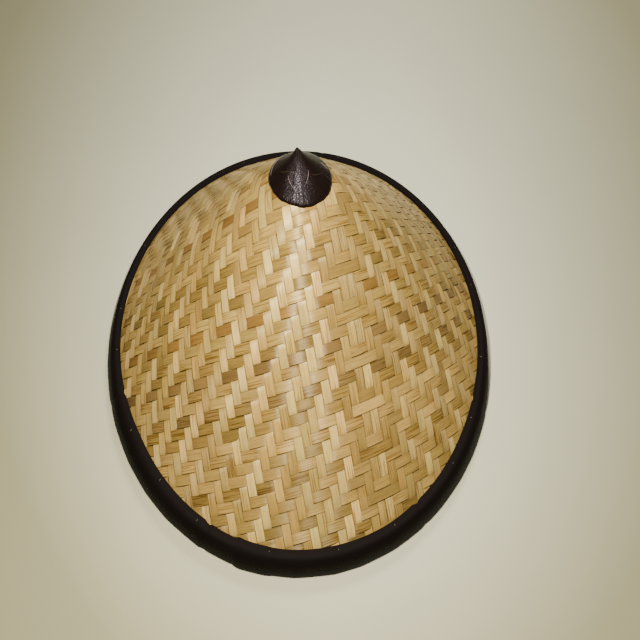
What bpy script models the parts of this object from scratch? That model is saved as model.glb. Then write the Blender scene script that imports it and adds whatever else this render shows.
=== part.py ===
"""A conical bamboo hat: woven cone, bound rim, leather cap and an inner frame with a head ring.

Metres, +Z up. The origin is the centre of the circle that the rim rests on, and -Y is the front.
"""

import math

import bmesh
import bpy
from mathutils import Vector

# The cone
RIM_RADIUS = 0.200
CONE_RISE = 0.1764  # from the rim's outer edge to the tip of the cap
SLOPE = math.atan2(CONE_RISE, RIM_RADIUS)
SEGMENTS = 72

# Layers at the rim, from the outside in, each with a clear gap to the next
GAP = 0.0003
TAPE = 0.0008
MAT_TOP = 0.0023
MAT = 0.0016
INNER_HOOP = 0.0020
MAT_UNDER = MAT_TOP + MAT
FRAME_TOP = MAT_UNDER + GAP
INNER_TAPE_TOP = FRAME_TOP + INNER_HOOP + GAP
STACK = INNER_TAPE_TOP + TAPE

# Rim: widths are measured up the slope from the outer edge
BINDING_WIDTH = 0.0128
EDGE_CLEARANCE = 0.0024
INNER_HOOP_WIDTH = 0.0080
# (slant, depth) of the tape's back over the outer hoop, and of its lining and that hoop: below 0 is proud
TAPE_BACK = [(BINDING_WIDTH, 0.0), (0.0109, -0.0024), (0.0083, -0.0040), (0.0051, -0.0040)]
TAPE_BACK += [(0.0028, -0.0030), (0.0009, -0.0010), (0.0, 0.0011)]
TAPE_LINING = [(0.0010, 0.0014), (0.0017, -0.0005), (0.0034, -0.0021), (0.0054, -0.0031)]
TAPE_LINING += [(0.0080, -0.0031), (0.0104, -0.0014), (BINDING_WIDTH, 0.0010)]
HOOP_OUTLINE = [(0.0030, MAT_TOP - GAP), (0.0036, -0.0010), (0.0056, -0.0027)]
HOOP_OUTLINE += [(0.0078, -0.0027), (0.0096, -0.0010), (0.0098, MAT_TOP - GAP)]
REST_CUT = 0.0010  # how much of the fold's lowest corner is flattened to stand on
EDGE_HEIGHT = STACK * math.cos(SLOPE) - REST_CUT

# Leather cap and the plug under it
CAP_RADIUS = 0.0355
CAP_DEPTH = 0.0005
LEATHER = 0.0014
TIP_RADIUS = 0.0016
TIP_DROP = 0.0012
CAP_KNEE_SHARE = 0.45  # where the cap's sharp tip reaches its own depth under the outline
PLUG_NECK_RADIUS = 0.0058
PLUG_FLANGE_RADIUS = 0.0160
PLUG_FLANGE_THICKNESS = 0.0040
PLUG_POINT = 0.0030
MAT_HOLE_RADIUS = 0.0080

# Inner frame
RIB_COUNT = 12
RIB_WIDTH = 0.0050
RIB_THICKNESS = 0.0018
RIB_FIRST = math.radians(15)
RIB_TOP_RADIUS = 0.0175
INNER_HOOP_RADII = (0.155, 0.122, 0.066, 0.036)
FRAME_HOOP_WIDTH = 0.0050
FRAME_HOOP_THICKNESS = 0.0018
FRAME_HOOP_TOP = FRAME_TOP + RIB_THICKNESS + GAP

# Head ring
RING_OUTER_RADIUS = 0.0890
RING_THICKNESS = 0.0025
RING_BOTTOM = 0.050
RING_TOP = 0.078
PAD_THICKNESS = 0.0016
PAD_BOTTOM = 0.048
PAD_TOP = 0.0765
TIE_COUNT = 6
TIE_WIDTH = 0.0050
TIE_THICKNESS = 0.0018
TIE_BOTTOM = 0.060

# Threads and loops
THREAD_RADIUS = 0.0003
BINDING_THREAD = (0.0115, -0.0024)
CAP_THREAD_RADIUS = 0.0005
CAP_STITCH_INNER = 0.0150
CAP_STITCH_OUTER = 0.0250
CAP_STITCH_PEAKS = 4
CORD_RADIUS = 0.0011
LOOP_HALF_WIDTH = 0.0060
LOOP_DROP = 0.0075
LOOP_STEPS = 8
TUBE_RESOLUTION = 1

BAMBOO = (0.62, 0.42, 0.19)
STRAW = (0.74, 0.56, 0.32)
TAPE_BROWN = (0.020, 0.013, 0.011)
LEATHER_BROWN = (0.035, 0.022, 0.020)
THREAD_CREAM = (0.55, 0.50, 0.42)
PAD_CLOTH = (0.060, 0.045, 0.038)


def clear_scene():
    for old in list(bpy.data.objects):
        bpy.data.objects.remove(old, do_unlink=True)


def material(name, colour, roughness, metallic=0.0):
    made = bpy.data.materials.new(name)
    made.use_nodes = True
    shader = made.node_tree.nodes["Principled BSDF"]
    shader.inputs["Base Color"].default_value = (*colour, 1.0)
    shader.inputs["Roughness"].default_value = roughness
    shader.inputs["Metallic"].default_value = metallic
    return made


def add_object(name, mesh, surface):
    made = bpy.data.objects.new(name, mesh)
    bpy.context.scene.collection.objects.link(made)
    mesh.materials.append(surface)
    return made


def below_cone(slant, depth):
    """(radius, height) of the point `slant` up the slope from the rim and `depth` under the surface."""
    radius = RIM_RADIUS - slant * math.cos(SLOPE) - depth * math.sin(SLOPE)
    height = EDGE_HEIGHT + slant * math.sin(SLOPE) - depth * math.cos(SLOPE)
    return radius, height


def slant_at(radius, depth):
    """How far up the slope the surface at `depth` has shrunk to `radius`."""
    return (RIM_RADIUS - radius - depth * math.sin(SLOPE)) / math.cos(SLOPE)


def height_at(radius, depth):
    return below_cone(slant_at(radius, depth), depth)[1]


def around(azimuth, radius, height):
    """A point at `azimuth` from the front, turning towards +X."""
    return Vector((radius * math.sin(azimuth), -radius * math.cos(azimuth), height))


def shade(mesh):
    mesh.shade_smooth()
    mesh.set_sharp_from_angle(angle=math.radians(35))


def turned(name, profile, surface):
    """A closed solid turned from a closed profile of (radius, height) points about Z."""
    shape = bmesh.new()
    rings = []
    for radius, height in profile:
        if radius == 0.0:
            rings.append([shape.verts.new((0.0, 0.0, height))])
            continue
        angles = [2 * math.pi * step / SEGMENTS for step in range(SEGMENTS)]
        rings.append([shape.verts.new(around(angle, radius, height)) for angle in angles])
    for first, second in zip(rings, rings[1:] + rings[:1]):
        if len(first) == 1 and len(second) == 1:
            continue
        for step in range(SEGMENTS):
            after = (step + 1) % SEGMENTS
            corners = [first[step % len(first)], first[after % len(first)]]
            corners += [second[after % len(second)], second[step % len(second)]]
            shape.faces.new(list(dict.fromkeys(corners)))
    bmesh.ops.recalc_face_normals(shape, faces=shape.faces)
    mesh = bpy.data.meshes.new(name)
    shape.to_mesh(mesh)
    shape.free()
    shade(mesh)
    return add_object(name, mesh, surface)


def sloped_band(name, low, high, top, thickness, surface):
    """A conical ring between two slant distances, `thickness` deep from depth `top`."""
    corners = [(low, top), (high, top), (high, top + thickness), (low, top + thickness)]
    return turned(name, [below_cone(*corner) for corner in corners], surface)


def strip(name, section, surface):
    """A straight bar between two rings of corners."""
    shape = bmesh.new()
    first, second = [[shape.verts.new(point) for point in end] for end in section]
    shape.faces.new(first)
    shape.faces.new(second)
    for step in range(len(first)):
        after = (step + 1) % len(first)
        shape.faces.new((first[step], first[after], second[after], second[step]))
    bmesh.ops.recalc_face_normals(shape, faces=shape.faces)
    mesh = bpy.data.meshes.new(name)
    shape.to_mesh(mesh)
    shape.free()
    return add_object(name, mesh, surface)


def tube(name, points, radius, surface, closed):
    """A round thread or cord along a list of points."""
    curve = bpy.data.curves.new(name, "CURVE")
    curve.dimensions = "3D"
    curve.bevel_depth = radius
    curve.bevel_resolution = TUBE_RESOLUTION
    curve.use_fill_caps = not closed
    line = curve.splines.new("POLY")
    line.points.add(len(points) - 1)
    for place, point in zip(line.points, points):
        place.co = (*point, 1.0)
    line.use_cyclic_u = closed
    line.use_smooth = True
    curve.materials.append(surface)
    made = bpy.data.objects.new(name, curve)
    bpy.context.scene.collection.objects.link(made)
    return made


def make_mat(straw):
    top = slant_at(MAT_HOLE_RADIUS, MAT_UNDER)
    sloped_band("woven_shell", EDGE_CLEARANCE, top, MAT_TOP, MAT, straw)


def make_rim(tape, thread, bamboo):
    """The tape folded round the edge, and the two hoops that it holds against the mat."""
    lowest = (RIM_RADIUS - STACK * math.sin(SLOPE), 0.0)
    flat_outer = (lowest[0] + REST_CUT * math.tan(SLOPE), 0.0)
    flat_inner = (lowest[0] - REST_CUT / math.tan(SLOPE), 0.0)
    profile = [below_cone(*point) for point in TAPE_BACK]
    profile += [flat_outer, flat_inner, below_cone(BINDING_WIDTH, STACK)]
    profile += [below_cone(BINDING_WIDTH, INNER_TAPE_TOP), below_cone(EDGE_CLEARANCE - GAP, INNER_TAPE_TOP)]
    profile += [below_cone(*point) for point in TAPE_LINING]
    turned("rim_binding", profile, tape)
    turned("rim_hoop_outer", [below_cone(*point) for point in HOOP_OUTLINE], bamboo)
    hoop_end = EDGE_CLEARANCE + INNER_HOOP_WIDTH
    sloped_band("rim_hoop_inner", EDGE_CLEARANCE, hoop_end, FRAME_TOP, INNER_HOOP, bamboo)
    radius, height = below_cone(*BINDING_THREAD)
    angles = [2 * math.pi * step / SEGMENTS for step in range(SEGMENTS)]
    route = [around(angle, radius, height) for angle in angles]
    tube("binding_thread", route, THREAD_RADIUS, thread, closed=True)


def make_cap(leather, thread, wood):
    """The leather cone over the peak, its zigzag stitching, and the plug that closes the peak."""
    tip = EDGE_HEIGHT + CONE_RISE
    hem_out = (CAP_RADIUS, height_at(CAP_RADIUS, CAP_DEPTH))
    hem_in = (CAP_RADIUS, height_at(CAP_RADIUS, CAP_DEPTH + LEATHER))
    knee = CAP_RADIUS * CAP_KNEE_SHARE
    profile = [(0.0, tip), (TIP_RADIUS, tip - TIP_DROP), (knee, height_at(knee, CAP_DEPTH)), hem_out, hem_in]
    profile += [(0.0, height_at(0.0, CAP_DEPTH + LEATHER))]
    turned("leather_cap", profile, leather)
    route = []
    for step in range(SEGMENTS):
        azimuth = 2 * math.pi * step / SEGMENTS
        wave = 0.5 - 0.5 * math.cos(CAP_STITCH_PEAKS * azimuth + math.pi)
        radius = CAP_STITCH_OUTER + (CAP_STITCH_INNER - CAP_STITCH_OUTER) * (1 - wave)
        route.append(around(azimuth, radius, height_at(radius, CAP_DEPTH - GAP - CAP_THREAD_RADIUS)))
    tube("cap_stitching", route, CAP_THREAD_RADIUS, thread, closed=True)
    neck_top = height_at(PLUG_NECK_RADIUS, CAP_DEPTH + LEATHER + 2 * GAP)
    flange_in = height_at(PLUG_NECK_RADIUS, FRAME_TOP)
    flange_out = height_at(PLUG_FLANGE_RADIUS, FRAME_TOP)
    profile = [(0.0, neck_top + PLUG_POINT), (PLUG_NECK_RADIUS, neck_top), (PLUG_NECK_RADIUS, flange_in)]
    profile += [(PLUG_FLANGE_RADIUS, flange_out), (PLUG_FLANGE_RADIUS, flange_out - PLUG_FLANGE_THICKNESS)]
    profile += [(0.0, flange_out - PLUG_FLANGE_THICKNESS)]
    turned("apex_plug", profile, wood)


def frame_corners(azimuth, slant, width, top, thickness):
    """Four corners of a flat bar's end under the cone, square to the slope."""
    side = Vector((math.cos(azimuth), math.sin(azimuth), 0.0)) * (width / 2)
    upper = around(azimuth, *below_cone(slant, top))
    lower = around(azimuth, *below_cone(slant, top + thickness))
    return [upper - side, upper + side, lower + side, lower - side]


def make_frame(bamboo):
    """Ribs from the plug to the rim hoop, and the hoops that lie under them."""
    low = EDGE_CLEARANCE + INNER_HOOP_WIDTH + GAP
    high = slant_at(RIB_TOP_RADIUS, FRAME_TOP)
    for rib in range(RIB_COUNT):
        azimuth = RIB_FIRST + 2 * math.pi * rib / RIB_COUNT
        ends = [frame_corners(azimuth, slant, RIB_WIDTH, FRAME_TOP, RIB_THICKNESS) for slant in (low, high)]
        strip(f"rib_{rib + 1:02d}", ends, bamboo)
    for number, radius in enumerate(INNER_HOOP_RADII, 1):
        middle = slant_at(radius, FRAME_HOOP_TOP)
        reach = (middle - FRAME_HOOP_WIDTH / 2, middle + FRAME_HOOP_WIDTH / 2)
        sloped_band(f"inner_hoop_{number}", *reach, FRAME_HOOP_TOP, FRAME_HOOP_THICKNESS, bamboo)


def upright_ring(name, outer, thickness, bottom, top, surface):
    inner = outer - thickness
    turned(name, [(outer, bottom), (outer, top), (inner, top), (inner, bottom)], surface)


def tie_end(azimuth, heights):
    """Four corners of an upright strap's end; `heights` are those of its inner and outer side."""
    side = Vector((math.cos(azimuth), math.sin(azimuth), 0.0)) * (TIE_WIDTH / 2)
    inner = around(azimuth, RING_OUTER_RADIUS + GAP, heights[0])
    outer = around(azimuth, RING_OUTER_RADIUS + GAP + TIE_THICKNESS, heights[1])
    return [inner - side, inner + side, outer + side, outer - side]


def make_head_ring(bamboo, cloth, cord):
    upright_ring("head_ring", RING_OUTER_RADIUS, RING_THICKNESS, RING_BOTTOM, RING_TOP, bamboo)
    pad_outer = RING_OUTER_RADIUS - RING_THICKNESS - GAP
    upright_ring("head_pad", pad_outer, PAD_THICKNESS, PAD_BOTTOM, PAD_TOP, cloth)
    clear = FRAME_TOP + RIB_THICKNESS + GAP
    radii = (RING_OUTER_RADIUS + GAP, RING_OUTER_RADIUS + GAP + TIE_THICKNESS)
    tops = [height_at(radius, clear) for radius in radii]
    for tie in range(TIE_COUNT):
        azimuth = RIB_FIRST + 2 * math.pi * tie / TIE_COUNT
        ends = [tie_end(azimuth, (TIE_BOTTOM, TIE_BOTTOM)), tie_end(azimuth, tops)]
        strip(f"ring_tie_{tie + 1}", ends, cord)
    for name, side in (("chin_loop_left", -1), ("chin_loop_right", 1)):
        across = side * (RING_OUTER_RADIUS - RING_THICKNESS / 2)
        start = Vector((across, -LOOP_HALF_WIDTH, RING_BOTTOM - GAP))
        drop = Vector((across, 0.0, RING_BOTTOM - GAP - LOOP_DROP))
        bend = [math.pi * step / LOOP_STEPS for step in range(LOOP_STEPS + 1)]
        arc = [drop + LOOP_HALF_WIDTH * Vector((0.0, -math.cos(t), -math.sin(t))) for t in bend]
        end = Vector((across, LOOP_HALF_WIDTH, RING_BOTTOM - GAP))
        tube(name, [start, *arc, end], CORD_RADIUS, cord, closed=False)


def main():
    clear_scene()
    bamboo = material("bamboo", BAMBOO, 0.50)
    thread = material("thread", THREAD_CREAM, 0.80)
    cloth = material("cloth", PAD_CLOTH, 0.90)
    make_mat(material("straw", STRAW, 0.40))
    make_rim(material("tape", TAPE_BROWN, 0.60), thread, bamboo)
    make_cap(material("leather", LEATHER_BROWN, 0.50), thread, bamboo)
    make_frame(bamboo)
    make_head_ring(bamboo, cloth, material("cord", TAPE_BROWN, 0.85))


main()
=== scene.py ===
"""The looks of the conical hat: a mat of bamboo splints, a folded tape, a leather cap and an inner frame."""

import math
import random

import bpy
import numpy as np
from mathutils import Matrix, Vector


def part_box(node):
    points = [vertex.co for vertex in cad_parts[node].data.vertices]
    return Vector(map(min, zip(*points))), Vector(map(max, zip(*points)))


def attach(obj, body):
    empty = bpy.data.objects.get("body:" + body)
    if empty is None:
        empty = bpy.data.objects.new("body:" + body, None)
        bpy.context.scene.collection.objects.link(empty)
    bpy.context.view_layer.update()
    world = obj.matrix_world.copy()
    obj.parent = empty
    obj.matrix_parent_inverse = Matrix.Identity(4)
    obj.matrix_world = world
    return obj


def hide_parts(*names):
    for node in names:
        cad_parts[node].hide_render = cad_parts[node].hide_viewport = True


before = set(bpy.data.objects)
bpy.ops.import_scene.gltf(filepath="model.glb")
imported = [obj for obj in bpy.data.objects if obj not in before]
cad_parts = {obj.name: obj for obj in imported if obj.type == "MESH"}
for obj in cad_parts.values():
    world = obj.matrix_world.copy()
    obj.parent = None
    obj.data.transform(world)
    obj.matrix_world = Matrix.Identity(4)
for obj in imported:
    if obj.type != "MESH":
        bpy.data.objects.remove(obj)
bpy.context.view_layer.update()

# The cone: its slope is the design's, and its sizes are read from the frame
RISE_PER_RUN = 0.882
RIM_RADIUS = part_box("rim_binding")[1][1]
TIP_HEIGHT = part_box("leather_cap")[1][2]
EDGE_HEIGHT = TIP_HEIGHT - RISE_PER_RUN * RIM_RADIUS
SLOPE = math.atan(RISE_PER_RUN)
UNROLL = math.cos(SLOPE)  # an angle on the unrolled cone is this share of the azimuth
CAP_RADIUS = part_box("leather_cap")[1][1]

# Weave, in shares of the rim's radius on the unrolled cone
PITCH = 0.0376
SPREAD = 0.39  # how much wider the weave opens towards the peak
FRONT_LEAN = math.radians(13.0)
FAMILIES = 3
TWILL_PHASES = (2, 1, 3)
TWILL_TURN = 3  # the twill's steps turn round this many splints past each family's middle
SAMPLES_PER_PITCH = 4
SPLINT_WIDTHS = (0.935, 0.985)  # narrowest and widest, in pitches
MAT_MIDDLE = 0.0031
# partly painted shade: each family's brightness is partly its own tone and partly stands for the sheen and
# shade that differ with the way its splints run
FAMILY_TONE_AND_SHADE = (0.99, 0.90, 1.07)
SPLINT_THICKNESS = 0.00060
WAVE_HEIGHT = 0.00048
ARCH_SHARE = 0.6  # how much of the wave is a float's slow arch, and not its quick dive at each end
MAT_EDGE = 0.9760
MAT_HOLE = 0.06

# Binding: (slant up from the outer edge, depth under the outline) round its section; below 0 is proud
SECTION_WIDTH = 0.0128
BINDING_WIDTH = 0.0116
BAND_CREST = 0.0070
RIM_OVAL = 0.0006  # how much the rim is out of round
RIM_OVAL_TURN = math.radians(20.0)
BINDING_STEPS = 480
TAPE_BACK = [(0.0124, -0.0004), (0.0109, -0.0025), (0.0097, -0.0035), (0.0083, -0.0040), (0.0067, -0.0042)]
TAPE_BACK += [(0.0051, -0.0039), (0.0038, -0.0034), (0.0027, -0.0028), (0.0009, -0.0009), (0.0, 0.0011)]
TAPE_FOLD = [(0.0, 0.0036), (0.0004, 0.0058), (0.0014, 0.0073), (0.0045, 0.0074), (0.0085, 0.0073)]
TAPE_LINING = [(0.0050, 0.0066), (0.0021, 0.0064), (0.0013, 0.0014), (0.0019, -0.0005), (0.0034, -0.0021)]
TAPE_LINING += [(0.0054, -0.0031), (0.0080, -0.0031), (0.0104, -0.0014), (0.0118, 0.0006)]
TAPE_END = 0.0022
STACK = 0.0073
TAPE = 0.0008
PUSH_REACH = 0.0090  # a push at the folded edge fades out this far up the slope
FACETS = 44
FACET_SHARE = 0.9  # how straight the runs are: 1 is a polygon
FACET_DRIFT = 0.00025
JOINT = math.radians(-15.6)
JOINT_REACH = math.radians(9.0)
JOINT_CORNER = math.radians(1.2)
CORNER_WIDER = 0.0017
LAP_WIDER, LAP_OUT, LAP_RISE = 0.0006, 0.0012, 0.0003
PLEATS = [JOINT] + [math.radians(angle) for angle in (-24.1, -65.7, 33.0, 64.2, 118.0, 171.0)]
PLEAT_REACH = math.radians(1.1)
PLEAT_NARROWER, PLEAT_IN, PLEAT_SINK = 0.0014, 0.0004, 0.0005
LOOSE_STRETCHES = [(-52.0, 32.0, 0.0033), (65.0, 35.0, 0.0014)]  # degrees, degrees either side, extra width
STITCHES = 21
STITCH_SLANT = 0.0105
STITCH_LENGTH = 0.0013

# Leather cap and its thread
LEATHER = 0.0014
CAP_DEPTH = 0.0005
CAP_HEM_DEPTH = 0.0023
CAP_THREAD = 0.00018
CAP_THREAD_LIFT = 0.0001
CAP_THREAD_SWELL = 0.0001
CAP_TIP_RISE = 0.0018
CAP_TIP_REACH = 0.24
CAP_WAIST = 0.0008
CAP_FRONT_CUT = 0.080  # how much shorter the hem is at the front than at the sides
CAP_SIDE_SHIFT = 0.048
CAP_SPREAD = 0.040
CAP_TIP_LEAN = -0.0022

# Inside
RIBS = 12
FIRST_RIB = math.radians(15.0)
HOOP_RADII = (0.155, 0.122, 0.066, 0.036)
HOOP_TOP = 0.0063
HOOP_THICKNESS = 0.0018
LASHING_TOP = 0.0047
LASHING_REACH = 0.0031
LASHING_TURN = 0.12  # the share of a thread's half in which it drops below the hoop
LASHING_CLEAR = 0.0006  # under the hoop
LASHING_CROSS = 0.0005  # how far the second thread passes over the first
LASHING_THREAD = 0.00035
RING_TIES = 6
TIE_STRAND = 0.0008
TIE_GAP = 0.0003
TIE_WRAPS = 4
TIE_WRAP_DROP = 0.0030  # the first turn's distance below the top
PAD_PUFFS = 24
PAD_SEAM = 0.0020
PAD_FULL = 0.0055
LOOP_CORD = 0.0022

# Stage
FLOOR_REACH = 12.0
FLOOR_DEPTH = 0.84  # how far in front of the hat the edges of the painted pool of light draw together
FLOOR_SHIFT = (-0.056, -0.045, 0.0)
FLOOR_STRETCH = (1.32, 1.0, 0.0)
# painted light and shade: the floor's lit middle and its shaded edge
FLOOR_PAINTED_LIGHT, FLOOR_PAINTED_SHADE = (0.74, 0.735, 0.560, 1), (0.385, 0.362, 0.215, 1)
KEY_DISTANCE = 2.5  # in rim radii
KEY_POLAR = math.radians(26.5)
KEY_ASIDE = -0.02
KEY_SIZE, KEY_POWER, KEY_COLOUR = 0.05, 4.1, (1.0, 0.94, 0.80)
BACK_PLACE, BACK_AIM = (0.20, 0.74, 1.0), (0.02, 0.34, 0)
BACK_SIZE, BACK_POWER, BACK_COLOUR = 0.45, 12.0, (1.0, 0.98, 0.92)
ROOM_COLOUR, ROOM_STRENGTH = (1.0, 0.97, 0.90, 1.0), 0.11

# Camera: its distance in rim radii, its angle from straight up, and how far its axis turns up from the rim
CAMERA_DISTANCE = 6.2687
CAMERA_POLAR = 43.714
CAMERA_TILT = 47.802
LENS_TO_FILM = 1.20850  # the lens's distance over the film's width
FILM_RIGHT = 0.02711  # the film's middle, aside and below the axis, over the lens's distance
FILM_DOWN = 1.10937


def cone_points(radius, azimuth, depth):
    """Points under the cone's outline: `radius` on the outline, then `depth` inwards along its normal."""
    reach = radius - depth * math.sin(SLOPE)
    height = TIP_HEIGHT - radius * RISE_PER_RUN - depth * math.cos(SLOPE)
    return np.stack([reach * np.sin(azimuth), -reach * np.cos(azimuth), height], axis=-1)


def mesh_object(name, vertices, faces, smooth=True):
    mesh = bpy.data.meshes.new(name)
    mesh.from_pydata([tuple(v) for v in vertices], [], [tuple(f) for f in faces])
    if smooth:
        mesh.shade_smooth()
    made = bpy.data.objects.new(name, mesh)
    bpy.context.scene.collection.objects.link(made)
    return made


def add_uvs(piece, name, marks, ring=0):
    """A UV layer from one (u, v) for each vertex. The first `ring` vertices close a ring, at u + 1."""
    mesh = piece.data
    layer = mesh.uv_layers.new(name=name)
    corners = np.empty(len(mesh.loops), dtype=np.int32)
    mesh.loops.foreach_get("vertex_index", corners)
    uvs = np.asarray(marks, dtype=np.float32)[corners]
    closing = (np.arange(len(corners)) >= len(corners) - 4 * ring) & (corners < ring)
    uvs[closing, 0] += 1.0
    layer.data.foreach_set("uv", uvs.ravel())


def keep(piece, slot, *nodes):
    """Fastens a piece to the hat and hides the CAD nodes that it stands for. The slot is not used."""
    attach(piece, "root")
    if nodes:
        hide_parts(*nodes)
    return piece


# ---------------------------------------------------------------- materials


class Surface:
    """A material and short calls that add nodes to it."""

    def __init__(self, name):
        self.material = bpy.data.materials.new(name)
        self.material.use_nodes = True
        self.tree = self.material.node_tree
        self.shader = self.tree.nodes["Principled BSDF"]

    def add(self, kind, inputs=None, **settings):
        node = self.tree.nodes.new(kind)
        for key, value in settings.items():
            setattr(node, key, value)
        for key, value in (inputs or {}).items():
            self.feed(node.inputs[key], value)
        return node

    def feed(self, socket, value):
        if isinstance(value, bpy.types.NodeSocket):
            self.tree.links.new(value, socket)
        else:
            socket.default_value = value

    def math(self, operation, first, second=0.0):
        return self.add("ShaderNodeMath", {0: first, 1: second}, operation=operation).outputs[0]

    def remap(self, value, low, high, new_low, new_high):
        inputs = {"Value": value, "From Min": low, "From Max": high, "To Min": new_low, "To Max": new_high}
        return self.add("ShaderNodeMapRange", inputs).outputs["Result"]

    def noise(self, vector, scale, detail=3.0, roughness=0.55):
        inputs = {"Vector": vector, "Scale": scale, "Detail": detail, "Roughness": roughness}
        return self.add("ShaderNodeTexNoise", inputs).outputs["Fac"]

    def stretch(self, vector, scale):
        return self.add("ShaderNodeMapping", {"Vector": vector, "Scale": scale}).outputs["Vector"]

    def times(self, colour, factor):
        """The colour times a factor, kept as a colour."""
        inputs = {0: colour, "Scale": factor}
        return self.add("ShaderNodeVectorMath", inputs, operation="SCALE").outputs["Vector"]

    def mix(self, factor, first, second):
        node = self.add("ShaderNodeMix", data_type="RGBA")
        self.feed(node.inputs[0], factor)
        self.feed(node.inputs[6], first)
        self.feed(node.inputs[7], second)
        return node.outputs[2]

    def bump(self, height, distance, strength=1.0):
        inputs = {"Height": height, "Distance": distance, "Strength": strength}
        self.feed(self.shader.inputs["Normal"], self.add("ShaderNodeBump", inputs).outputs["Normal"])

    def finish(self, colour, roughness, specular=0.5):
        self.feed(self.shader.inputs["Base Color"], colour)
        self.feed(self.shader.inputs["Roughness"], roughness)
        self.feed(self.shader.inputs["Specular IOR Level"], specular)
        return self.material


def splint_surface():
    """Split bamboo: each splint's tint, which carries painted shade at its edges and where it dives under,
    with fine fibres and dark pores that run along it.
    """
    made = Surface("splint")
    colour_data = made.add("ShaderNodeAttribute", attribute_name="tint")
    tint, strength = colour_data.outputs["Color"], colour_data.outputs["Alpha"]
    along = made.add("ShaderNodeUVMap", uv_map="splint").outputs["UV"]
    pores = made.noise(made.stretch(along, (2.2, 1.9, 1.0)), 1.0, 2.0, 0.5)
    broad = made.noise(made.stretch(along, (1.3, 0.5, 1.0)), 1.0, 2.0, 0.5)
    fine = made.noise(made.stretch(along, (9.0, 5.5, 1.0)), 1.0, 3.0, 0.6)
    pored = made.math("MULTIPLY", made.remap(pores, 0.475, 0.41, 0.0, 1.0), strength)
    broad_tone, fine_tone = made.remap(broad, 0.3, 0.7, 0.86, 1.12), made.remap(fine, 0.35, 0.65, 0.83, 1.12)
    clean = made.times(tint, made.math("MULTIPLY", broad_tone, fine_tone))
    darker = {0: clean, 1: (0.56, 0.46, 0.31)}
    dark = made.add("ShaderNodeVectorMath", darker, operation="MULTIPLY").outputs["Vector"]
    colour = made.mix(pored, clean, dark)
    made.bump(made.math("ADD", pores, made.math("MULTIPLY", fine, 0.5)), 0.00013, 0.9)
    tangent = made.add("ShaderNodeTangent", direction_type="UV_MAP", uv_map="splint").outputs["Tangent"]
    made.feed(made.shader.inputs["Tangent"], tangent)
    made.feed(made.shader.inputs["Anisotropic"], 0.88)
    made.feed(made.shader.inputs["Specular Tint"], (1.0, 0.88, 0.62, 1.0))
    made.feed(made.shader.inputs["Anisotropic Rotation"], 0.25)
    return made.finish(colour, made.remap(fine, 0.3, 0.7, 0.34, 0.42), 0.42)


def tape_surface():
    """Matt near-black leatherette with a fine even grain."""
    made = Surface("tape")
    place = made.add("ShaderNodeTexCoord").outputs["Object"]
    grain = made.noise(place, 1400.0, 2.0)
    patches = made.noise(place, 30.0, 3.0)
    colour = made.mix(patches, (0.0052, 0.0027, 0.0023, 1), (0.0038, 0.0022, 0.0018, 1))
    made.bump(grain, 0.00004, 0.6)
    return made.finish(colour, 0.75, 0.10)


def leather_surface():
    """Dark brown leather whose grain is drawn out towards the peak, with a cool sheen."""
    made = Surface("leather")
    fold = made.add("ShaderNodeUVMap", uv_map="leather").outputs["UV"]
    grain = made.stretch(fold, (125.0, 26.0, 1.0))
    cells = made.add("ShaderNodeTexVoronoi", {"Vector": grain, "Scale": 1.0}, feature="DISTANCE_TO_EDGE")
    pebble = made.remap(cells.outputs["Distance"], 0.0, 0.20, 0.0, 1.0)
    wrinkle = made.noise(made.stretch(fold, (40.0, 5.0, 1.0)), 1.0, 4.0)
    made.bump(made.math("ADD", made.math("MULTIPLY", pebble, 0.6), wrinkle), 0.00016, 1.0)
    colour = made.mix(wrinkle, (0.0045, 0.0020, 0.0014, 1), (0.0085, 0.0042, 0.0034, 1))
    made.feed(made.shader.inputs["Specular Tint"], (0.92, 0.86, 1.0, 1.0))
    return made.finish(colour, made.remap(pebble, 0.0, 1.0, 0.44, 0.27), 0.15)


def plain_surface(name, colour, roughness, grain, depth, change=0.2, specular=0.5):
    """A matt or satin surface with an even grain in its tone and its relief."""
    made = Surface(name)
    place = made.add("ShaderNodeTexCoord").outputs["Object"]
    pattern = made.noise(place, grain, 4.0)
    tone = made.remap(pattern, 0.3, 0.7, 1.0 - change, 1.0 + change)
    made.bump(pattern, depth)
    return made.finish(made.times(colour, tone), roughness, specular)


# ---------------------------------------------------------------- weave


def opened(share):
    """The share of the radius at which a point of the pattern lies: wider near the peak."""
    return share * (1 + SPREAD) / (1 + SPREAD * share)


def first_is_over(family, first, second):
    """The twill rule where splint `first` of a family meets splint `second` of the next family."""
    if second < TWILL_TURN:
        second = 2 * TWILL_TURN - 1 - second
    return (first - second + TWILL_PHASES[family]) % 4 < 2


def splint_is_over(family, number, step):
    """Whether a splint passes over the crossing `step` (…, -1, 0, …) pitches along it."""
    if step >= 0:
        return first_is_over(family, number, step)
    return not first_is_over((family - 1) % FAMILIES, -1 - step, number)


def splint_tint(dice, family):
    """One splint's colour. The first family has more tan and brown in it than the other two, partly its own
    tone and partly painted shade for splints that the sheen misses.
    """
    choices = [((0.57, 0.395, 0.132), 5), ((0.50, 0.335, 0.100), 6), ((0.41, 0.262, 0.070), 3)]
    # partly painted shade: the first family's darker browns stand in part for the shade on splints that the
    # sheen misses
    if family == 0:
        choices = [((0.44, 0.290, 0.082), 4), ((0.36, 0.228, 0.060), 6), ((0.29, 0.178, 0.044), 5)]
        choices += [((0.21, 0.130, 0.038), 2), ((0.27, 0.145, 0.034), 1)]
    colours, weights = zip(*choices)
    colour = dice.choices(colours, weights)[0]
    # the family factor is partly painted shade
    shade = dice.uniform(0.93, 1.07) * FAMILY_TONE_AND_SHADE[family]
    return np.array([channel * shade * dice.uniform(0.97, 1.03) for channel in colour])


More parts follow.
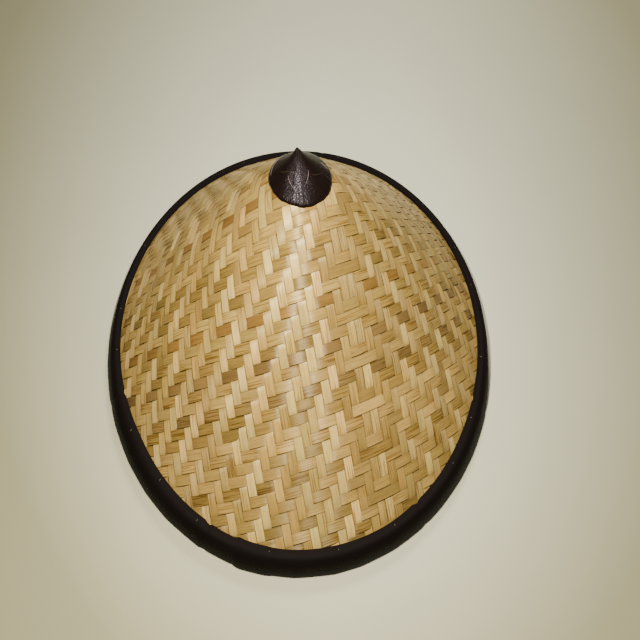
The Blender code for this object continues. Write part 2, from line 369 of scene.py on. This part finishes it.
def splint_floats(family, number, crossings, dice):
    """At each crossing along a splint: 1 over or -1 under, and the tone and tilt of the float it lies in;
    the tone is partly the float's own and partly painted shade for its tilt.
    """
    rows = []
    before = None
    for step in crossings:
        over = splint_is_over(family, number, step)
        if over != before:
            # partly painted shade: a float's random tone is partly its own and partly stands for the shade
            # its tilt would give
            tone, tilt = dice.uniform(0.74, 1.14), dice.uniform(-1.0, 1.0)
        rows.append((1.0 if over else -1.0, tone, tilt))
        before = over
    return np.array(rows)


def splint_rows(family, number, dice):
    """The samples along one splint: place in pitches, height from -1 to 1, tone (partly painted shade for
    the float's tilt), and tilt from -1 to 1.
    """
    reach = math.sqrt(max((MAT_EDGE / UNROLL / PITCH) ** 2 - (number + 0.5) ** 2, 0.5))
    last = int(reach * SAMPLES_PER_PITCH)
    places = np.arange(-last, last + 1) / SAMPLES_PER_PITCH
    before = np.floor(places - 0.5).astype(int)
    floats = splint_floats(family, number, range(before[0], before[-1] + 2), dice)
    here, ahead = floats[before - before[0]], floats[before - before[0] + 1]
    share = np.clip((places - 0.5 - before - 0.5) * 2 + 0.5, 0.0, 1.0)[:, None]
    mixed = here + (ahead - here) * share ** 2 * (3 - 2 * share)
    slow = np.hanning(2 * SAMPLES_PER_PITCH + 3)
    arch = np.convolve(np.pad(mixed[:, 0], len(slow) // 2, mode="edge"), slow / slow.sum(), mode="valid")
    heights = mixed[:, 0] * (1 - ARCH_SHARE) + arch * ARCH_SHARE
    return places, heights, mixed[:, 1], mixed[:, 2]


SPLINT_SECTION = [(-1.0, 0.28), (-0.96, 0.5), (-0.86, 0.5), (0.86, 0.5), (0.96, 0.5), (1.0, 0.28)]
SPLINT_SECTION += [(0.95, -0.5), (-0.95, -0.5)]
EDGE_SHADE = (0.45, 0.55, 1.0, 1.0, 0.55, 0.45, 1.0, 1.0)  # painted shade: a splint's edges are darker, for the shade lines between neighbouring splints


def splint_corners(family, offset, half, rows):
    """Points round a splint's section at every sample along it, on the cone."""
    places, heights, _, tilts = rows
    centre = FRONT_LEAN + math.pi / 2 * family
    columns = []
    for across, up in SPLINT_SECTION:
        aside = (offset + across * half) * PITCH
        run = places * PITCH
        angle = (centre + np.arctan2(run, aside)) / UNROLL
        radius = opened(np.hypot(aside, run) * UNROLL) * RIM_RADIUS
        lift = heights * WAVE_HEIGHT + (up + 0.5 * tilts * across) * SPLINT_THICKNESS
        columns.append(cone_points(radius, angle, MAT_MIDDLE - lift))
    return np.stack(columns, axis=1)


def tube_faces(first, rows, size):
    """Faces of a closed tube of `rows` rings, whose first vertex is `first`."""
    faces = [tuple(first + side for side in reversed(range(size)))]
    for base in range(first, first + (rows - 1) * size, size):
        for side in range(size):
            after = (side + 1) % size
            faces.append((base + side, base + after, base + size + after, base + size + side))
    faces.append(tuple(first + (rows - 1) * size + side for side in range(size)))
    return faces


def weave_family(family, surface):
    """Every splint of one family, as closed strips in one mesh."""
    dice = random.Random(100 + family)
    points, faces, tints, marks = [], [], [], []
    total, size = 0, len(SPLINT_SECTION)
    for number in range(int(MAT_EDGE / UNROLL / PITCH - 0.5) + 1):
        rows = splint_rows(family, number, dice)
        tint = splint_tint(dice, family)
        half = 0.5 * dice.uniform(*SPLINT_WIDTHS)
        offset = number + 0.5 + dice.uniform(-0.012, 0.012)
        pores = dice.choice((0.15, 0.4, 0.7, 1.0))
        corners = splint_corners(family, offset, half, rows)
        places, heights, float_tone_and_shade, _ = rows
        kept = opened(np.hypot(offset, places) * PITCH * UNROLL) > MAT_HOLE
        stretches = np.split(np.arange(len(places)), np.flatnonzero(np.diff(kept.astype(int))) + 1)
        for stretch in stretches:
            if not kept[stretch[0]] or len(stretch) < 2:
                continue
            points.append(corners[stretch].reshape(-1, 3))
            faces += tube_faces(total, len(stretch), size)
            total += len(stretch) * size
            # painted shade: a splint is darker where it dives under its neighbour
            dip_shade_and_tone = (0.93 + 0.07 * heights[stretch]) * float_tone_and_shade[stretch]
            shaded = np.column_stack([dip_shade_and_tone[:, None] * tint, np.full(len(stretch), pores)])
            edge_shaded = np.repeat(shaded, size, axis=0)
            # painted shade: the splint's edges are darkened for the shade lines between splints
            edge_shaded[:, :3] *= np.tile(EDGE_SHADE, len(stretch))[:, None]
            tints.append(edge_shaded)
            across = np.array([(side + 1) * 2.0 + number * 5.17 for side, _ in SPLINT_SECTION])
            lengthwise = np.repeat(places[stretch] * 0.12 + number * 7.31, size)
            marks.append(np.column_stack([lengthwise, np.tile(across, len(stretch))]))
    made = mesh_object(f"mat_splints_{family + 1}", np.concatenate(points), faces)
    colours = made.data.attributes.new("tint", "FLOAT_COLOR", "POINT")
    colours.data.foreach_set("color", np.concatenate(tints).astype(np.float32).ravel())
    add_uvs(made, "splint", np.concatenate(marks))
    made.data.set_sharp_from_angle(angle=math.radians(40))
    made.data.materials.append(surface)
    return made


def weave_mat():
    surface = splint_surface()
    first, *others = [weave_family(family, surface) for family in range(FAMILIES)]
    keep(first, "straw", "woven_shell")
    for piece in others:
        keep(piece, "straw")


# ---------------------------------------------------------------- rim and cap


def below_cone(slant, azimuth, depth):
    """Points `slant` up the slope from the rim's outer edge and `depth` under the outline."""
    return cone_points(RIM_RADIUS - slant * math.cos(SLOPE), azimuth, depth)


def ring_surface(name, columns, surface, uv_name=None, marks=()):
    """A mesh from columns of points (one column for each place round the section), closed both ways."""
    rows = np.stack(columns, axis=1)
    steps, size = rows.shape[:2]
    faces = []
    for step in range(steps):
        here, ahead = step * size, (step + 1) % steps * size
        for side in range(size):
            other = (side + 1) % size
            faces.append((here + side, ahead + side, ahead + other, here + other))
    made = mesh_object(name, rows.reshape(-1, 3), faces)
    if uv_name:
        add_uvs(made, uv_name, np.stack(marks, axis=1).reshape(-1, 2), size)
    made.data.materials.append(surface)
    return made


def facet_cuts(dice):
    """The azimuths where the folded edge kinks, unevenly spaced."""
    weights = [dice.uniform(0.7, 1.3) for _ in range(FACETS)]
    return np.concatenate([[0.0], np.cumsum(weights)]) / sum(weights) * 2 * math.pi + JOINT


def nearness(azimuth, centre, width):
    """1 at `centre` falling to 0 at `width` either side, round the circle."""
    apart = np.abs((azimuth - centre + math.pi) % (2 * math.pi) - math.pi)
    return np.clip(1 - apart / width, 0, 1)


def binding_facets(azimuths, dice):
    """How far the folded edge lies inside the rim's circle, and how the tape's width drifts."""
    cuts = facet_cuts(dice)
    which = np.clip(np.searchsorted(cuts, azimuths, side="right") - 1, 0, FACETS - 1)
    middle, half = (cuts[which] + cuts[which + 1]) / 2, (cuts[which + 1] - cuts[which]) / 2
    cut_in = RIM_RADIUS * (1 - np.cos(half) / np.cos(azimuths - middle)) * FACET_SHARE
    uneven = [dice.uniform(-FACET_DRIFT, FACET_DRIFT) for _ in range(FACETS + 1)]
    return cut_in, np.interp(azimuths, cuts, uneven)


def band_width(azimuth):
    """The tape's width up the slope: wider on two stretches where it was pulled less tight."""
    extra = 0
    for centre, reach, more in LOOSE_STRETCHES:
        extra = extra + more * nearness(azimuth, math.radians(centre), math.radians(reach))
    return BINDING_WIDTH + extra


def pulled(slant, width):
    """A place on the tape's section, moved with its inner edge."""
    past_crest = np.maximum(slant - BAND_CREST, 0.0)
    return slant + past_crest * (width - SECTION_WIDTH) / (SECTION_WIDTH - BAND_CREST)


def pushed(slant, out):
    """A place on the tape's section, moved outwards with the folded edge, less so farther from it."""
    return slant - out * np.clip(1 - slant / PUSH_REACH, 0.0, 1.0)


def make_binding():
    """The tape folded round the rim in short straight runs, with pleats and one lapped joint."""
    dice = random.Random(7)
    azimuths = np.linspace(0, 2 * math.pi, BINDING_STEPS, endpoint=False) + JOINT
    cut_in, drift = binding_facets(azimuths, dice)
    past = azimuths - JOINT
    lap = np.where(past < JOINT_REACH, np.sqrt(np.clip(1 - past / JOINT_REACH, 0, 1)), 0.0)
    pleat = sum(nearness(azimuths, centre, PLEAT_REACH) for centre in PLEATS)
    corner = nearness(azimuths, JOINT, JOINT_CORNER)
    width = band_width(azimuths) + drift + LAP_WIDER * lap + CORNER_WIDER * corner - PLEAT_NARROWER * pleat
    oval = -RIM_OVAL * np.cos(2 * (azimuths - RIM_OVAL_TURN))
    out = oval - cut_in + LAP_OUT * lap - PLEAT_IN * pleat
    rise = LAP_RISE * lap - PLEAT_SINK * pleat
    ends = [(width, TAPE_END), (width + 0.0001, 0.0009)]
    section = ends + [(pushed(pulled(slant, width), out), depth - rise) for slant, depth in TAPE_BACK]
    section += [(pushed(slant, out), depth) for slant, depth in TAPE_FOLD]
    section += [(width, STACK), (width, STACK - TAPE)]
    section += [(pushed(pulled(slant, width), out), depth) for slant, depth in TAPE_LINING]
    section += [(width - 0.0006, TAPE_END)]
    columns = []
    for slant, depth in section:
        points = below_cone(slant, azimuths, depth)
        points[:, 2] = np.maximum(points[:, 2], 0.0)
        columns.append(points)
    binding = ring_surface("binding_tape", columns, tape_surface())
    binding.data.set_sharp_from_angle(angle=math.radians(50))
    keep(binding, "tape", "rim_binding")


def thread_mesh(name, routes, radius, surface, sides=6):
    """Short round threads along routes of points, in one mesh."""
    vertices, faces = [], []
    for route in routes:
        for row, point in enumerate(route):
            ahead = Vector(route[min(row + 1, len(route) - 1)]) - Vector(route[max(row - 1, 0)])
            across = ahead.cross(Vector(point)).normalized()
            out = across.cross(ahead).normalized()
            swell = math.sqrt(max(1 - (2 * row / (len(route) - 1) - 1) ** 4, 0.05))
            for side in range(sides):
                turn = 2 * math.pi * side / sides
                offset = across * math.cos(turn) + out * math.sin(turn)
                vertices.append(Vector(point) + offset * radius * swell)
        faces += tube_faces(len(vertices) - len(route) * sides, len(route), sides)
    made = mesh_object(name, vertices, faces)
    made.data.materials.append(surface)
    return made


def make_binding_stitches(surface):
    """Short stitches through the tape, close to its inner edge."""
    dice = random.Random(11)
    slants, depths = zip(*reversed(TAPE_BACK))
    routes = []
    for stitch in range(STITCHES):
        azimuth = JOINT + 2 * math.pi * (stitch + 0.5 + dice.uniform(-0.2, 0.2)) / STITCHES
        shares = np.linspace(-0.5, 0.5, 5)
        slant = STITCH_SLANT + dice.uniform(-0.0008, 0.0008) + shares * STITCH_LENGTH
        lean = dice.uniform(-0.4, 0.4) * STITCH_LENGTH / RIM_RADIUS
        depth = np.interp(slant, slants, depths) + 0.0001 - 0.0003 * (1 - (2 * shares) ** 2)
        routes.append(below_cone(pulled(slant, band_width(azimuth)), azimuth + shares * lean, depth))
    keep(thread_mesh("binding_stitches", routes, 0.00012, surface), "thread", "binding_thread")


def cap_depth(share):
    """How far the leather lies under the outline at a share of the cap's radius: it rises to a sharp tip."""
    waist = np.sin(math.pi * np.clip(share, 0, 1) ** 0.75) ** 2
    tip = CAP_TIP_RISE * np.exp(-share / CAP_TIP_REACH)
    return CAP_DEPTH * np.minimum(share * 5, 1) + CAP_WAIST * waist - tip


def cap_points(share, azimuth, under=0.0):
    """Points on the leather, whose tip leans a little to one side."""
    points = cone_points(CAP_RADIUS * share, azimuth, cap_depth(share) + under)
    points[..., 0] += CAP_TIP_LEAN * np.exp(-share / 0.3)
    return points


def make_cap():
    """The leather cone with a rolled hem, wavy by a fraction of a millimetre."""
    around = np.linspace(0, 1, 192, endpoint=False)
    azimuths = 2 * math.pi * around + math.pi
    shares = np.concatenate([[0.008, 0.02, 0.04], np.linspace(0.06, 0.94, 28), [0.965, 0.985, 1.0]])
    wave = 0.008 * np.sin(3 * azimuths + 0.8) + 0.006 * np.sin(7 * azimuths) + 0.003 * np.sin(17 * azimuths)
    frontness = 0.5 + 0.5 * np.cos(azimuths)
    wave += CAP_SPREAD + CAP_SIDE_SHIFT * np.sin(azimuths) - CAP_FRONT_CUT * frontness ** 2
    columns, marks = [], []
    for share in shares:
        fold = 0.00014 * np.sin(23 * azimuths + 3 * np.sin(5 * azimuths)) * share ** 2
        roll = LEATHER * (max(share - 0.94, 0) / 0.06) ** 2
        columns.append(cap_points(share * (1 + wave * share ** 2), azimuths, fold + roll))
        marks.append(np.column_stack([around, np.full(len(around), share)]))
    for share in (0.998, 0.94, 0.5, 0.008):
        radius = CAP_RADIUS * share * (1 + wave * share ** 2)
        columns.append(cone_points(radius, azimuths, CAP_HEM_DEPTH))
        marks.append(np.column_stack([around, np.full(len(around), 2 - share)]))
    cap = ring_surface("cap_leather", columns, leather_surface(), "leather", marks)
    keep(cap, "leather", "leather_cap")


def cap_route(start, end):
    """A thread on the leather between two (azimuth in degrees, share of the cap's radius) points."""
    steps = np.linspace(0, 1, 9)
    azimuth = np.radians(start[0] + (end[0] - start[0]) * steps)
    share = start[1] + (end[1] - start[1]) * steps
    return cap_points(share, azimuth, -CAP_THREAD_LIFT - CAP_THREAD_SWELL * np.sin(math.pi * steps))


def make_cap_stitches(surface, dark):
    """Long stitches in a zigzag round the cap: light threads, and dark strands of painted shade for stitches
    lying in shaded creases.
    """
    light = [((-43, 0.50), (-9, 0.70)), ((49, 0.42), (19, 0.62)), ((-146, 0.84), (-88, 0.88))]
    light += [((116, 0.76), (107, 0.95))]
    # painted shade: dark strands for stitches that lie in shaded creases
    sunk = [((-78, 0.62), (-44, 0.42)), ((50, 0.52), (98, 0.80)), ((-170, 0.60), (-148, 0.82))]
    routes = [cap_route(*ends) for ends in light]
    keep(thread_mesh("cap_threads", routes, CAP_THREAD, surface), "thread", "cap_stitching")
    routes = [cap_route(*ends) for ends in sunk]
    keep(thread_mesh("cap_crease_shade_threads", routes, CAP_THREAD * 2, dark), "leather")


# ---------------------------------------------------------------- stage


def floor_light_pool_surface():
    """A painted pool of light round the hat on pale paint, falling off into painted shade away from it. The
    lit part is narrow in front and wide behind.
    """
    made = Surface("floor_painted_light_pool")
    place = made.add("ShaderNodeTexCoord").outputs["Object"]
    depth = made.math("ADD", made.add("ShaderNodeSeparateXYZ", {0: place}).outputs["Y"], FLOOR_DEPTH)
    inputs = {"Vector": place, "Location": FLOOR_SHIFT, "Scale": FLOOR_STRETCH}
    shifted = made.add("ShaderNodeMapping", inputs).outputs["Vector"]
    spread = made.times(shifted, made.math("DIVIDE", 1.0, made.math("MAXIMUM", depth, 0.3)))
    away = made.add("ShaderNodeVectorMath", {0: spread}, operation="LENGTH")
    # painted light: 1 in the pool of light round the hat, 0 in the painted shade beyond
    middle = made.remap(away.outputs["Value"], 0.20, 0.62, 1.0, 0.0)
    patches = made.remap(made.noise(place, 9.0, 4.0), 0.3, 0.7, 0.985, 1.015)
    colour = made.mix(middle, FLOOR_PAINTED_SHADE, FLOOR_PAINTED_LIGHT)
    return made.finish(made.times(colour, patches), 0.9, 0.1)


def make_stage():
    """A pale floor that runs out of the picture."""
    corners = [(x * FLOOR_REACH, y * FLOOR_REACH, 0) for x, y in ((-1, -1), (1, -1), (1, 1), (-1, 1))]
    floor = mesh_object("floor", corners, [(0, 1, 2, 3)])
    floor.data.materials.append(floor_light_pool_surface())


def area_light(name, place, aim, size, power, colour):
    data = bpy.data.lights.new(name, "AREA")
    data.shape = "DISK"
    data.size = size
    data.energy = power
    data.color = colour
    made = bpy.data.objects.new(name, data)
    made.location = place
    made.rotation_mode = "QUATERNION"
    made.rotation_quaternion = (Vector(aim) - Vector(place)).to_track_quat("-Z", "Y")
    bpy.context.scene.collection.objects.link(made)


def make_light():
    """A small key above the hat's front, and a wide soft light behind the hat."""
    away = KEY_DISTANCE * RIM_RADIUS
    key = Vector((KEY_ASIDE, -math.sin(KEY_POLAR) * away, math.cos(KEY_POLAR) * away + EDGE_HEIGHT))
    area_light("key", key, (0, 0, 0), KEY_SIZE, KEY_POWER, KEY_COLOUR)
    area_light("back", BACK_PLACE, BACK_AIM, BACK_SIZE, BACK_POWER, BACK_COLOUR)
    world = bpy.data.worlds.new("room")
    world.use_nodes = True
    background = world.node_tree.nodes["Background"]
    background.inputs["Color"].default_value = ROOM_COLOUR
    background.inputs["Strength"].default_value = ROOM_STRENGTH
    bpy.context.scene.world = world


def make_camera():
    """A camera whose film leans back from its axis, as on a view camera, so the hat looks tall."""
    polar = math.radians(CAMERA_POLAR)
    axis = polar + math.radians(CAMERA_TILT)
    forward = Vector((0, math.sin(axis), -math.cos(axis)))
    up = Vector((0, math.cos(axis), math.sin(axis)))
    right = Vector((1, 0, 0))
    middle = forward + right * FILM_RIGHT - up * FILM_DOWN
    away = CAMERA_DISTANCE * RIM_RADIUS
    place = Vector((0, -away * math.sin(polar), away * math.cos(polar) + EDGE_HEIGHT))
    lean = Matrix.Identity(4)
    for column, values in enumerate((right, up, -middle.normalized(), place)):
        for row in range(3):
            lean[row][column] = values[row]
    camera = bpy.data.objects.new("camera", bpy.data.cameras.new("camera"))
    bpy.context.scene.collection.objects.link(camera)
    stand = bpy.data.objects.new("camera_stand", None)
    bpy.context.scene.collection.objects.link(stand)
    camera.parent = stand
    camera.matrix_parent_inverse = lean
    camera.data.lens = LENS_TO_FILM * middle.length * camera.data.sensor_width
    bpy.context.scene.camera = camera


# ---------------------------------------------------------------- inside


def make_head_pad():
    """A cloth sleeve with soft filling inside the head ring, drawn in by upright seams."""
    low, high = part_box("head_pad")
    middle, half = (low[2] + high[2]) / 2, (high[2] - low[2]) / 2
    azimuths = np.linspace(0, 2 * math.pi, PAD_PUFFS * 20, endpoint=False)
    puff = np.abs(np.sin(azimuths * PAD_PUFFS / 2)) ** 0.6
    crease = 0.0002 * np.sin(azimuths * PAD_PUFFS * 3 + 2 * np.sin(7 * azimuths))
    columns = []
    for turn in np.linspace(0, 2 * math.pi, 24, endpoint=False):
        out = math.copysign(abs(math.cos(turn)) ** 0.8, math.cos(turn))
        up = math.copysign(abs(math.sin(turn)) ** 0.6, math.sin(turn))
        depth = PAD_SEAM + (PAD_FULL - PAD_SEAM) * puff + crease * (1 - up * up)
        reach = high[0] - depth * (1 - out) / 2
        height = middle + half * up * (0.95 + 0.05 * puff)
        columns.append(np.stack([reach * np.sin(azimuths), -reach * np.cos(azimuths), height], axis=-1))
    cloth = plain_surface("pad_cloth", (0.030, 0.022, 0.018), 0.9, 1500.0, 0.0001, 0.3, 0.2)
    pad = ring_surface("head_pad_cloth", columns[::-1], cloth)
    keep(pad, "cloth", "head_pad")


def upright_point(azimuth, radius, height):
    """A point at a radius and a height, with azimuth 0 at the front."""
    return Vector((radius * math.sin(azimuth), -radius * math.cos(azimuth), height))


def make_ring_tie(number, surface):
    """Three strands of cord from the head ring up to a rib, bound round with the same cord."""
    name = f"ring_tie_{number + 1}"
    low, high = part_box(name)
    azimuth = FIRST_RIB + 2 * math.pi * number / RING_TIES
    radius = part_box("head_ring")[1][0] + TIE_GAP + TIE_STRAND
    top = high[2] - TIE_STRAND
    routes = []
    for strand in (-1, 0, 1):
        aside = strand * 2 * TIE_STRAND / radius
        heights = np.linspace(low[2], top, 9)
        routes.append([upright_point(azimuth + aside, radius, height) for height in heights])
    centre = upright_point(azimuth, radius, 0.0)
    across = Vector((math.cos(azimuth), math.sin(azimuth), 0.0))
    outward = centre.normalized()
    for wrap in range(TIE_WRAPS):
        turn = np.linspace(0, 2 * math.pi, 17)
        height = top - TIE_WRAP_DROP - wrap * 2.1 * TIE_STRAND
        loop = []
        for angle in turn:
            side, out = math.cos(angle), math.sin(angle)
            place = centre + across * side * 4.0 * TIE_STRAND + outward * out * 2.0 * TIE_STRAND
            loop.append(place + Vector((0.0, 0.0, height + TIE_STRAND * angle / math.pi)))
        routes.append(loop)
    made = thread_mesh(f"{name}_strands", routes, TIE_STRAND * 0.97, surface, 8)
    keep(made, "cord", name)


def make_chin_loop(name, surface):
    """A loop of cord that hangs from the head ring, for a chin strap."""
    low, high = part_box(name)
    centre = (low[0] + high[0]) / 2
    half = (high[1] - low[1]) / 2 - LOOP_CORD / 2
    top, drop = high[2], high[2] - low[2] - LOOP_CORD / 2 - half
    turns = np.linspace(0, math.pi, 25)
    arc = [(centre, -half * math.cos(turn), top - drop - half * math.sin(turn)) for turn in turns]
    sides = np.linspace(0, 1, 7)[:-1]
    route = [(centre, -half, top - drop * share) for share in sides] + arc
    route += [(centre, half, top - drop * share) for share in sides[::-1]]
    curve = bpy.data.curves.new(f"{name}_cord", "CURVE")
    curve.dimensions = "3D"
    curve.bevel_depth = LOOP_CORD / 2
    curve.bevel_resolution = 3
    curve.use_fill_caps = True
    line = curve.splines.new("POLY")
    line.points.add(len(route) - 1)
    for place, point in zip(line.points, route):
        place.co = (*point, 1.0)
    line.use_smooth = True
    curve.materials.append(surface)
    made = bpy.data.objects.new(f"{name}_cord", curve)
    bpy.context.scene.collection.objects.link(made)
    keep(made, "cord", name)


def make_lashings(surface):
    """Crossed threads that tie each hoop to each rib."""
    routes = []
    for radius in HOOP_RADII:
        middle = (RIM_RADIUS - radius - HOOP_TOP * math.sin(SLOPE)) / math.cos(SLOPE)
        for rib in range(RIBS):
            azimuth = FIRST_RIB + 2 * math.pi * rib / RIBS
            for lean in (-1, 1):
                shares = np.linspace(-1, 1, 25)
                sunk = np.clip((1 - np.abs(shares)) / LASHING_TURN, 0, 1)
                depth = LASHING_TOP + (HOOP_TOP + HOOP_THICKNESS + LASHING_CLEAR - LASHING_TOP) * sunk
                depth += LASHING_CROSS * (lean > 0) * (1 - np.abs(shares))
                slant = middle + LASHING_REACH * shares
                routes.append(below_cone(slant, azimuth + lean * LASHING_REACH * shares / radius, depth))
    keep(thread_mesh("frame_lashings", routes, LASHING_THREAD, surface), "thread")


def bamboo_surface(name, stretch):
    """Bamboo with fibres along the bar: `stretch` is the grain's scale outwards, round and upwards."""
    made = Surface(name)
    place = made.add("ShaderNodeTexCoord").outputs["Object"]
    parts = made.add("ShaderNodeSeparateXYZ", {0: place}).outputs
    squares = [made.math("POWER", parts[axis], 2.0) for axis in ("X", "Y")]
    radius = made.math("POWER", made.math("ADD", *squares), 0.5)
    turn = made.math("ARCTAN2", parts["Y"], parts["X"])
    folded = made.add("ShaderNodeCombineXYZ", {0: radius, 1: turn, 2: parts["Z"]}).outputs[0]
    fibres = made.noise(made.stretch(folded, stretch), 1.0, 3.0)
    patches = made.noise(place, 25.0, 2.0)
    light, dark = (0.44, 0.300, 0.115, 1), (0.25, 0.150, 0.052, 1)
    colour = made.mix(made.remap(fibres, 0.35, 0.65, 0.0, 1.0), dark, light)
    made.bump(fibres, 0.0001, 0.8)
    return made.finish(made.times(colour, made.remap(patches, 0.3, 0.7, 0.82, 1.12)), 0.42, 0.4)


def restyle_frame():
    """Gives the CAD nodes their bamboo: fibres along the ribs, and round everything else."""
    ribs = bamboo_surface("bamboo_ribs", (14.0, 260.0, 14.0))
    hoops = bamboo_surface("bamboo_hoops", (900.0, 5.0, 900.0))
    for name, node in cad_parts.items():
        node.data.materials.clear()
        node.data.materials.append(ribs if name.startswith("rib_") else hoops)


def make_inside(thread):
    cord = plain_surface("cord", (0.012, 0.009, 0.008), 0.85, 1200.0, 0.0001, 0.3, 0.2)
    make_head_pad()
    for number in range(RING_TIES):
        make_ring_tie(number, cord)
    for name in ("chin_loop_left", "chin_loop_right"):
        make_chin_loop(name, cord)
    make_lashings(thread)


make_camera()
weave_mat()
restyle_frame()
make_binding()
make_cap()
thread_finish = plain_surface("thread", (0.27, 0.185, 0.180), 0.8, 2500.0, 0.0001, 0.2, 0.3)
# painted shade: a near-black colour for the shaded creases along the cap's stitches
crease_shade_finish = plain_surface("painted_crease_shade", (0.026, 0.019, 0.010), 0.9, 2500.0, 0.0001, 0.1, 0.1)
make_binding_stitches(thread_finish)
make_cap_stitches(thread_finish, crease_shade_finish)
make_inside(thread_finish)
make_stage()
make_light()
